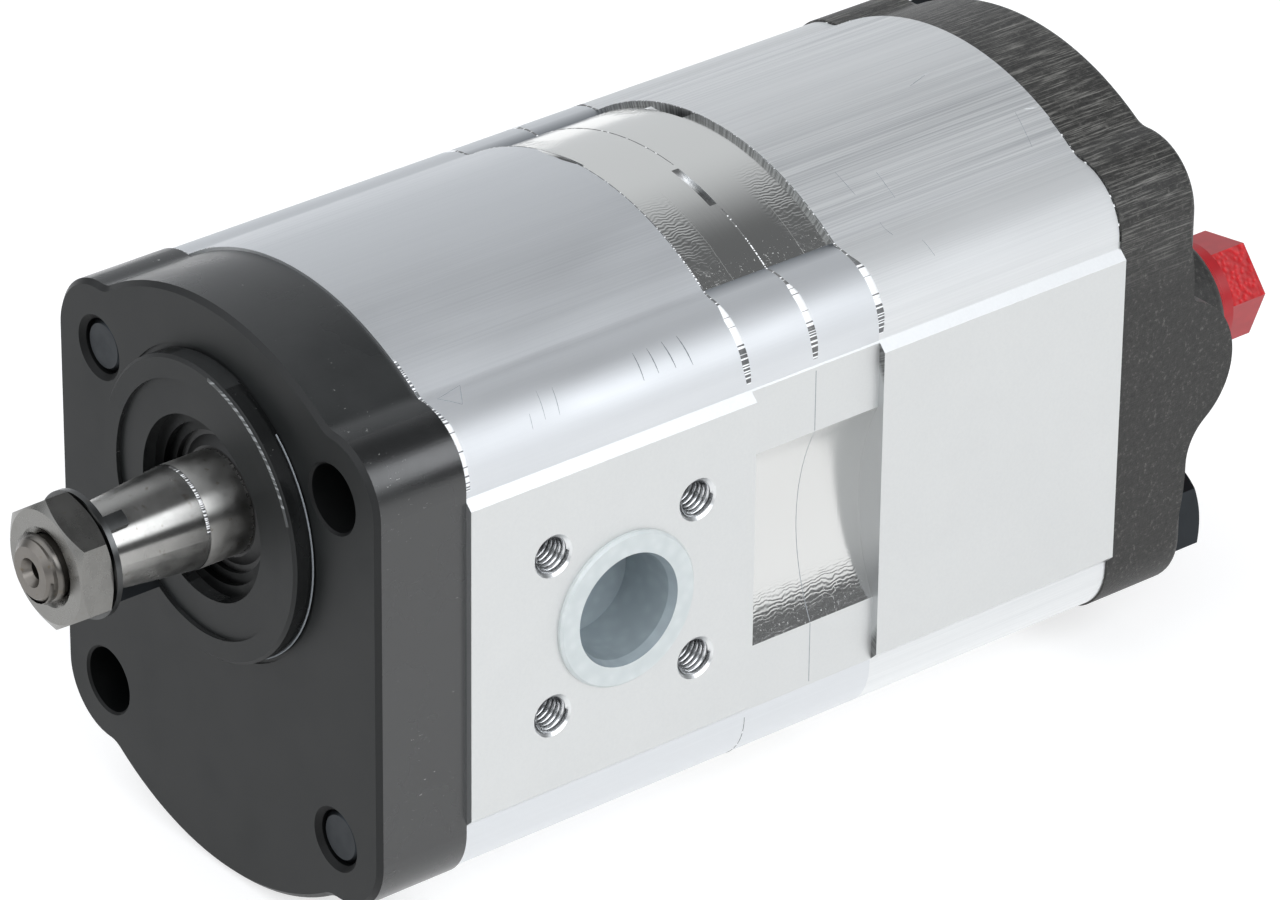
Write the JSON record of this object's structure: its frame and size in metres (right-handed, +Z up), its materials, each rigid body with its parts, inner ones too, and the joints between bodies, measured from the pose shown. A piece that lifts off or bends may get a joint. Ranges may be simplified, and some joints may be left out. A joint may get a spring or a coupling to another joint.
{
  "type": "hydraulic pump",
  "caption": "Tandem external gear pump with a keyed taper shaft, a square bolt flange with a round pilot, flanged side ports and a plugged rear port.",
  "frame": {"origin": "on the drive shaft's axis, in the mounting face of the front cover", "axes": "-Y along the shaft, out of the pump; +Y towards the rear cover; +X towards the outlet port; +Z up, from the idler gears to the drive gears"},
  "size_m": [0.0864, 0.2271, 0.1009],
  "materials": {
    "black_front_cover": "black satin coating",
    "aluminium_extrusion": "drawn extrusion, milled port faces",
    "milled_aluminium": "milled",
    "black_casting": "black painted casting",
    "ground_steel": "ground",
    "plated_steel": "zinc plated",
    "dark_steel": "black oxide",
    "seal_rubber": "moulded nitrile rubber",
    "bush_bronze": "sintered bronze",
    "clear_plastic": "translucent moulded polyethylene",
    "red_plastic": "moulded polyethylene"
  },
  "bodies": {
    "housing": {"front_cover": "black_front_cover", "front_body": "aluminium_extrusion", "front_adapter_plate": "milled_aluminium", "rear_adapter_plate": "milled_aluminium", "rear_body": "aluminium_extrusion", "rear_cover": "black_casting", "seal_case": "plated_steel", "seal_lip": "seal_rubber", "garter_spring": "plated_steel", "seal_snap_ring": "dark_steel", "upper_clamp_bolt": "dark_steel", "lower_clamp_bolt": "dark_steel", "outlet_cap": "clear_plastic", "inlet_cap": "clear_plastic", "rear_plug": "red_plastic", "dowel_pins": "dark_steel", "joint_seals": "seal_rubber", "bearing_block_front_1": "milled_aluminium", "bearing_bushes_front_1": "bush_bronze", "block_seal_front_1": "seal_rubber", "bearing_block_front_2": "milled_aluminium", "bearing_bushes_front_2": "bush_bronze", "block_seal_front_2": "seal_rubber", "bearing_block_rear_1": "milled_aluminium", "bearing_bushes_rear_1": "bush_bronze", "block_seal_rear_1": "seal_rubber", "bearing_block_rear_2": "milled_aluminium", "bearing_bushes_rear_2": "bush_bronze", "block_seal_rear_2": "seal_rubber"},
    "drive_train": {"front_drive_shaft": "ground_steel", "shaft_coupling": "ground_steel", "rear_drive_shaft": "ground_steel", "woodruff_key": "dark_steel", "tab_washer": "plated_steel", "shaft_nut": "plated_steel"},
    "front_idler": {"front_idler_gear": "ground_steel"},
    "rear_idler": {"rear_idler_gear": "ground_steel"}
  },
  "joints": [
    {"name": "drive_spin", "type": "hinge", "parent": "housing", "child": "drive_train", "pos_m": [0, 0, 0], "axis": [0, 1, 0], "continuous": true},
    {"name": "front_idler_spin", "type": "hinge", "parent": "housing", "child": "front_idler", "pos_m": [0, 0, -0.0315], "axis": [0, 1, 0], "continuous": true},
    {"name": "rear_idler_spin", "type": "hinge", "parent": "housing", "child": "rear_idler", "pos_m": [0, 0, -0.0315], "axis": [0, 1, 0], "continuous": true}
  ],
  "couplings": [
    {"joint": "front_idler_spin", "follows": "drive_spin", "ratio": -1},
    {"joint": "rear_idler_spin", "follows": "drive_spin", "ratio": -1}
  ]
}
